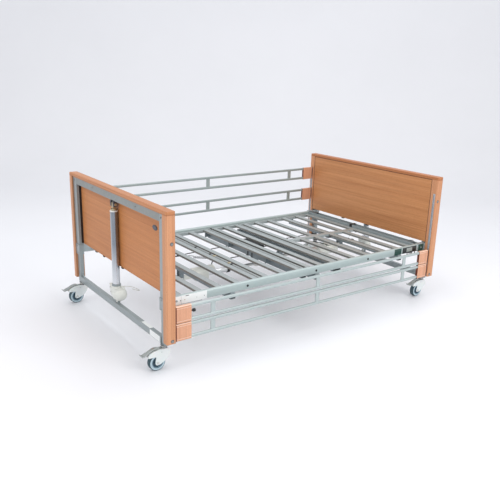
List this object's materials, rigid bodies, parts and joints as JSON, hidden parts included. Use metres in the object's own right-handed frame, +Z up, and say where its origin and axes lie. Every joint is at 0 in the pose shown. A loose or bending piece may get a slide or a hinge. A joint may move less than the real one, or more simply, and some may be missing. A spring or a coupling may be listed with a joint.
{
  "type": "adjustable hospital bed",
  "caption": "Wide slatted profiling bed with wooden bed ends, telescoping end lifts, four-section platform, sliding side rails and braked swivel casters.",
  "frame": {"origin": "centre of the bed's bounding box at floor level", "axes": "+X towards the head end, +Z up, -Y towards the side with the lowered rail"},
  "size_m": [2.303, 1.325, 0.885],
  "materials": {
    "beech": "satin beech laminate",
    "frame_paint": "silver-grey powder coat",
    "bright_metal": "anodised",
    "steel": "zinc plated",
    "ivory_plastic": "satin moulded",
    "white_plastic": "gloss moulded",
    "hub_plastic": "satin moulded",
    "tyre_rubber": "matt",
    "pedal_metal": "satin",
    "black_plastic": "satin moulded",
    "cable_rubber": "matt"
  },
  "bodies": {
    "bed_frame": {"end_posts": "beech", "top_rails": "beech", "end_panels": "beech", "upper_frames": "frame_paint", "leg_collars": "frame_paint", "rail_channels": "bright_metal", "corner_couplers": "frame_paint", "end_bolts": "steel", "lift_pistons": "steel", "lift_clevises": "steel", "side_members": "frame_paint", "platform_plugs": "black_plastic", "cross_members": "frame_paint", "pole_sockets": "frame_paint", "seat_section": "frame_paint", "pivot_pins": "steel", "backrest_motor": "ivory_plastic", "thigh_motor": "ivory_plastic", "actuator_pins": "steel", "control_box": "black_plastic", "cables": "cable_rubber"},
    "foot_legs": {"foot_lower_frame": "frame_paint", "foot_lift_tube": "bright_metal", "foot_lift_motor": "ivory_plastic"},
    "head_legs": {"head_lower_frame": "frame_paint", "head_lift_tube": "bright_metal", "head_lift_motor": "ivory_plastic"},
    "backrest": {"backrest_section": "frame_paint"},
    "thigh": {"thigh_section": "frame_paint"},
    "lower_leg": {"leg_section": "frame_paint", "leg_glides": "black_plastic"},
    "back_rod": {"backrest_rod": "steel"},
    "knee_rod": {"thigh_rod": "steel"},
    "near_upper_rail": {"near_upper_bars": "frame_paint", "near_upper_blocks": "beech"},
    "near_lower_rail": {"near_lower_bars": "frame_paint", "near_lower_blocks": "beech"},
    "far_upper_rail": {"far_upper_bars": "frame_paint", "far_upper_blocks": "beech"},
    "far_lower_rail": {"far_lower_bars": "frame_paint", "far_lower_blocks": "beech"},
    "near_release": {"near_knob": "black_plastic"},
    "far_release": {"far_knob": "black_plastic"},
    "foot_near_caster": {"foot_near_fork": "white_plastic"},
    "foot_near_wheel": {"foot_near_hub": "hub_plastic", "foot_near_tyre": "tyre_rubber"},
    "foot_near_brake": {"foot_near_pedal": "pedal_metal"},
    "foot_far_caster": {"foot_far_fork": "white_plastic"},
    "foot_far_wheel": {"foot_far_hub": "hub_plastic", "foot_far_tyre": "tyre_rubber"},
    "foot_far_brake": {"foot_far_pedal": "pedal_metal"},
    "head_near_caster": {"head_near_fork": "white_plastic"},
    "head_near_wheel": {"head_near_hub": "hub_plastic", "head_near_tyre": "tyre_rubber"},
    "head_near_brake": {"head_near_pedal": "pedal_metal"},
    "head_far_caster": {"head_far_fork": "white_plastic"},
    "head_far_wheel": {"head_far_hub": "hub_plastic", "head_far_tyre": "tyre_rubber"},
    "head_far_brake": {"head_far_pedal": "pedal_metal"}
  },
  "joints": [
    {"name": "head_end_lift", "type": "slide", "parent": "head_legs", "child": "bed_frame", "axis": [0, 0, 1], "range_m": [0, 0.4]},
    {"name": "foot_end_lift", "type": "slide", "parent": "bed_frame", "child": "foot_legs", "axis": [0, 0, -1], "range_m": [0, 0.4]},
    {"name": "backrest_tilt", "type": "hinge", "parent": "bed_frame", "child": "backrest", "pos_m": [0.2835, 0, 0.376], "axis": [0, -1, 0], "range_deg": [0, 70]},
    {"name": "thigh_tilt", "type": "hinge", "parent": "bed_frame", "child": "thigh", "pos_m": [-0.0015, 0, 0.376], "axis": [0, 1, 0], "range_deg": [0, 38]},
    {"name": "lower_leg_tilt", "type": "hinge", "parent": "thigh", "child": "lower_leg", "pos_m": [-0.3365, 0, 0.376], "axis": [0, 1, 0], "range_deg": [-59.3, 0]},
    {"name": "backrest_rod_slide", "type": "slide", "parent": "bed_frame", "child": "back_rod", "axis": [1, 0, 0], "range_m": [0, 0.1206]},
    {"name": "thigh_rod_slide", "type": "slide", "parent": "bed_frame", "child": "knee_rod", "axis": [-1, 0, 0], "range_m": [0, 0.0782]},
    {"name": "near_rail_slide", "type": "slide", "parent": "bed_frame", "child": "near_upper_rail", "axis": [0, 0, 1], "range_m": [0, 0.407]},
    {"name": "near_lower_rail_slide", "type": "slide", "parent": "bed_frame", "child": "near_lower_rail", "axis": [0, 0, 1], "range_m": [0, 0.33]},
    {"name": "far_rail_slide", "type": "slide", "parent": "bed_frame", "child": "far_upper_rail", "axis": [0, 0, 1], "range_m": [-0.407, 0]},
    {"name": "far_lower_rail_slide", "type": "slide", "parent": "bed_frame", "child": "far_lower_rail", "axis": [0, 0, 1], "range_m": [-0.33, 0]},
    {"name": "near_release_push", "type": "slide", "parent": "near_upper_rail", "child": "near_release", "axis": [-1, 0, 0], "range_m": [0, 0.005], "stiffness_N_per_m": 600, "springref_m": -0.002},
    {"name": "far_release_push", "type": "slide", "parent": "far_upper_rail", "child": "far_release", "axis": [-1, 0, 0], "range_m": [0, 0.005], "stiffness_N_per_m": 600, "springref_m": -0.002},
    {"name": "foot_near_swivel", "type": "hinge", "parent": "foot_legs", "child": "foot_near_caster", "pos_m": [-1.0095, -0.583, 0.115], "axis": [0, 0, 1], "continuous": true},
    {"name": "foot_near_roll", "type": "hinge", "parent": "foot_near_caster", "child": "foot_near_wheel", "pos_m": [-1.0565, -0.583, 0.048], "axis": [0, 1, 0], "continuous": true},
    {"name": "foot_near_brake_press", "type": "hinge", "parent": "foot_near_caster", "child": "foot_near_brake", "pos_m": [-1.0335, -0.583, 0.106], "axis": [0, -1, 0], "range_deg": [0, 7]},
    {"name": "foot_far_swivel", "type": "hinge", "parent": "foot_legs", "child": "foot_far_caster", "pos_m": [-1.0095, 0.583, 0.115], "axis": [0, 0, 1], "continuous": true},
    {"name": "foot_far_roll", "type": "hinge", "parent": "foot_far_caster", "child": "foot_far_wheel", "pos_m": [-1.0565, 0.583, 0.048], "axis": [0, 1, 0], "continuous": true},
    {"name": "foot_far_brake_press", "type": "hinge", "parent": "foot_far_caster", "child": "foot_far_brake", "pos_m": [-1.0335, 0.583, 0.106], "axis": [0, -1, 0], "range_deg": [0, 7]},
    {"name": "head_near_swivel", "type": "hinge", "parent": "head_legs", "child": "head_near_caster", "pos_m": [1.1165, -0.583, 0.115], "axis": [0, 0, 1], "continuous": true},
    {"name": "head_near_roll", "type": "hinge", "parent": "head_near_caster", "child": "head_near_wheel", "pos_m": [1.0695, -0.583, 0.048], "axis": [0, 1, 0], "continuous": true},
    {"name": "head_near_brake_press", "type": "hinge", "parent": "head_near_caster", "child": "head_near_brake", "pos_m": [1.0925, -0.583, 0.106], "axis": [0, -1, 0], "range_deg": [0, 7]},
    {"name": "head_far_swivel", "type": "hinge", "parent": "head_legs", "child": "head_far_caster", "pos_m": [1.1165, 0.583, 0.115], "axis": [0, 0, 1], "continuous": true},
    {"name": "head_far_roll", "type": "hinge", "parent": "head_far_caster", "child": "head_far_wheel", "pos_m": [1.0695, 0.583, 0.048], "axis": [0, 1, 0], "continuous": true},
    {"name": "head_far_brake_press", "type": "hinge", "parent": "head_far_caster", "child": "head_far_brake", "pos_m": [1.0925, 0.583, 0.106], "axis": [0, -1, 0], "range_deg": [0, 7]}
  ],
  "couplings": [
    {"joint": "foot_end_lift", "follows": "head_end_lift", "ratio": 1},
    {"joint": "lower_leg_tilt", "follows": "thigh_tilt", "ratio": -1.56},
    {"joint": "backrest_rod_slide", "follows": "backrest_tilt", "m_per_rad": 0.098591},
    {"joint": "thigh_rod_slide", "follows": "thigh_tilt", "m_per_rad": 0.11781},
    {"joint": "near_lower_rail_slide", "follows": "near_rail_slide", "ratio": 0.81081},
    {"joint": "far_lower_rail_slide", "follows": "far_rail_slide", "ratio": 0.81081}
  ]
}
